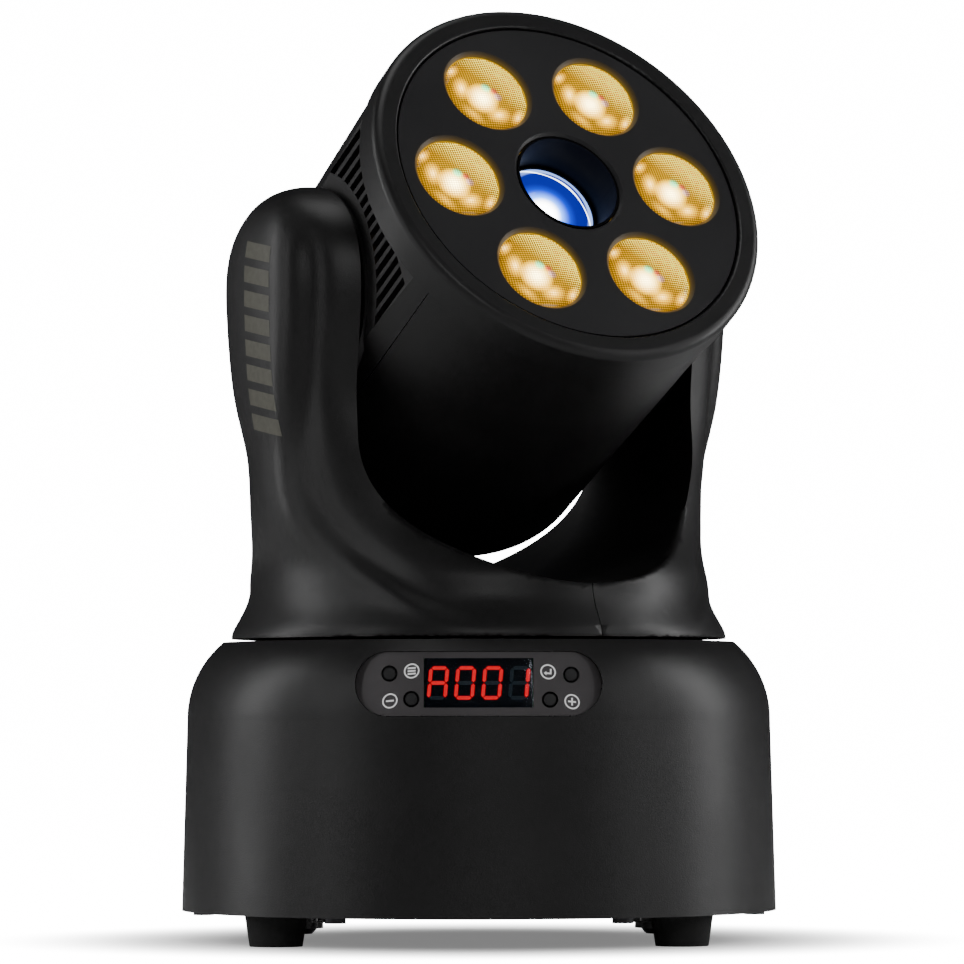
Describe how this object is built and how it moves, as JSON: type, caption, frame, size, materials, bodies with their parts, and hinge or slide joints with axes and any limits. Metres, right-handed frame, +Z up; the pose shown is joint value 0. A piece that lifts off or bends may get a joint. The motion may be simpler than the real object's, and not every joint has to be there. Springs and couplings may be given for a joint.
{
  "type": "moving head stage light",
  "caption": "Compact stage light: a round base with a display and buttons carries a panning yoke and a tilting lamp head with lenses round a central beam.",
  "frame": {"origin": "on the base's vertical axis, at the plane its feet stand on", "axes": "+Z up along the pan axis; the base's control panel faces -Y and its sockets face +Y; +X to the right seen from the front"},
  "size_m": [0.1746, 0.1747, 0.2714],
  "materials": {
    "body_plastic": "fine spark-eroded matt black moulding",
    "face_plastic": "smooth satin black face",
    "ring_plastic": "satin black ring",
    "rubber": "matt black rubber",
    "steel": "zinc plated steel",
    "black_steel": "black powder coat",
    "aluminium": "bare aluminium",
    "circuit": "solder resist over glass laminate",
    "led_white": "white solder resist",
    "amber_lens": "lit collimator lens with a fine grid front",
    "beam_glass": "lit domed glass lens",
    "gloss_black": "glossy black tube",
    "panel_film": "dark grey printed panel",
    "window": "smoked clear window",
    "display_black": "black display module",
    "button_black": "black button caps",
    "socket_black": "black socket mouldings",
    "belt_rubber": "black timing belt"
  },
  "bodies": {
    "root": {"base_shell": "body_plastic", "base_plate": "black_steel", "rubber_feet": "rubber", "foot_screws": "steel", "plate_screws": "steel", "bracket_sockets": "socket_black", "control_panel": "panel_film", "display_window": "window", "display_module": "display_black", "control_board": "circuit", "rear_panel": "black_steel", "mains_inlet": "socket_black", "fuse_holder": "socket_black", "data_in_socket": "socket_black", "data_out_socket": "socket_black", "power_supply": "aluminium", "main_board": "circuit", "pan_bearing": "steel", "pan_motor": "black_steel", "pan_belt": "belt_rubber"},
    "button_menu": {"button_menu": "button_black"},
    "button_minus": {"button_minus": "button_black"},
    "button_enter": {"button_enter": "button_black"},
    "button_plus": {"button_plus": "button_black"},
    "pan_motor_pulley": {"pan_motor_pulley": "aluminium"},
    "yoke": {"yoke_left": "body_plastic", "yoke_right": "body_plastic", "yoke_frame": "steel", "pan_shaft": "steel", "pan_pulley": "aluminium", "trunnions": "steel", "tilt_pulley": "aluminium"},
    "head": {"front_ring": "ring_plastic", "face_panel": "face_plastic", "wash_lens_1": "amber_lens", "wash_lens_2": "amber_lens", "wash_lens_3": "amber_lens", "wash_lens_4": "amber_lens", "wash_lens_5": "amber_lens", "wash_lens_6": "amber_lens", "led_board": "led_white", "heat_sink": "aluminium", "beam_tube": "gloss_black", "beam_lens": "beam_glass", "beam_led": "led_white", "head_top": "body_plastic", "head_bottom": "body_plastic", "side_cover_left": "body_plastic", "side_cover_right": "body_plastic", "rear_cover": "body_plastic", "head_frame": "steel", "tilt_bearings": "steel", "tilt_motor": "black_steel", "tilt_belt": "belt_rubber", "gobo_motor": "black_steel", "fan_frame": "socket_black"},
    "tilt_motor_pulley": {"tilt_motor_pulley": "aluminium"},
    "gobo_wheel": {"gobo_wheel": "aluminium"},
    "fan_rotor": {"fan_rotor": "socket_black"}
  },
  "joints": [
    {"name": "pan", "type": "hinge", "parent": "root", "child": "yoke", "pos_m": [0, 0, 0.088], "axis": [0, 0, 1], "range_deg": [-298.86, 241.14]},
    {"name": "tilt", "type": "hinge", "parent": "yoke", "child": "head", "pos_m": [0, 0, 0.1871], "axis": [-0.8758, -0.4827, 0], "range_deg": [-45.57, 164.43]},
    {"name": "pan_motor_spin", "type": "hinge", "parent": "root", "child": "pan_motor_pulley", "pos_m": [0.042, 0.022, 0.07], "axis": [0, 0, 1], "range_deg": [-1794.16, 1447.84]},
    {"name": "tilt_motor_spin", "type": "hinge", "parent": "head", "child": "tilt_motor_pulley", "pos_m": [-0.04708, 0.00256, 0.17235], "axis": [-0.8758, -0.4827, 0], "range_deg": [-592.95, 165.05]},
    {"name": "gobo_spin", "type": "hinge", "parent": "head", "child": "gobo_wheel", "pos_m": [0.00811, -0.01472, 0.17438], "axis": [0.4156, -0.7541, 0.5086], "continuous": true},
    {"name": "fan_spin", "type": "hinge", "parent": "head", "child": "fan_rotor", "pos_m": [0.00269, 0.04277, 0.16574], "axis": [0.4156, -0.7541, 0.5086], "continuous": true},
    {"name": "menu_press", "type": "slide", "parent": "root", "child": "button_menu", "axis": [0, 1, 0], "range_m": [0, 0.0006], "stiffness_N_per_m": 600},
    {"name": "minus_press", "type": "slide", "parent": "root", "child": "button_minus", "axis": [0, 1, 0], "range_m": [0, 0.0006], "stiffness_N_per_m": 600},
    {"name": "enter_press", "type": "slide", "parent": "root", "child": "button_enter", "axis": [0, 1, 0], "range_m": [0, 0.0006], "stiffness_N_per_m": 600},
    {"name": "plus_press", "type": "slide", "parent": "root", "child": "button_plus", "axis": [0, 1, 0], "range_m": [0, 0.0006], "stiffness_N_per_m": 600}
  ],
  "couplings": [
    {"joint": "pan_motor_spin", "follows": "pan", "ratio": 6},
    {"joint": "tilt_motor_spin", "follows": "tilt", "ratio": -3.6}
  ]
}
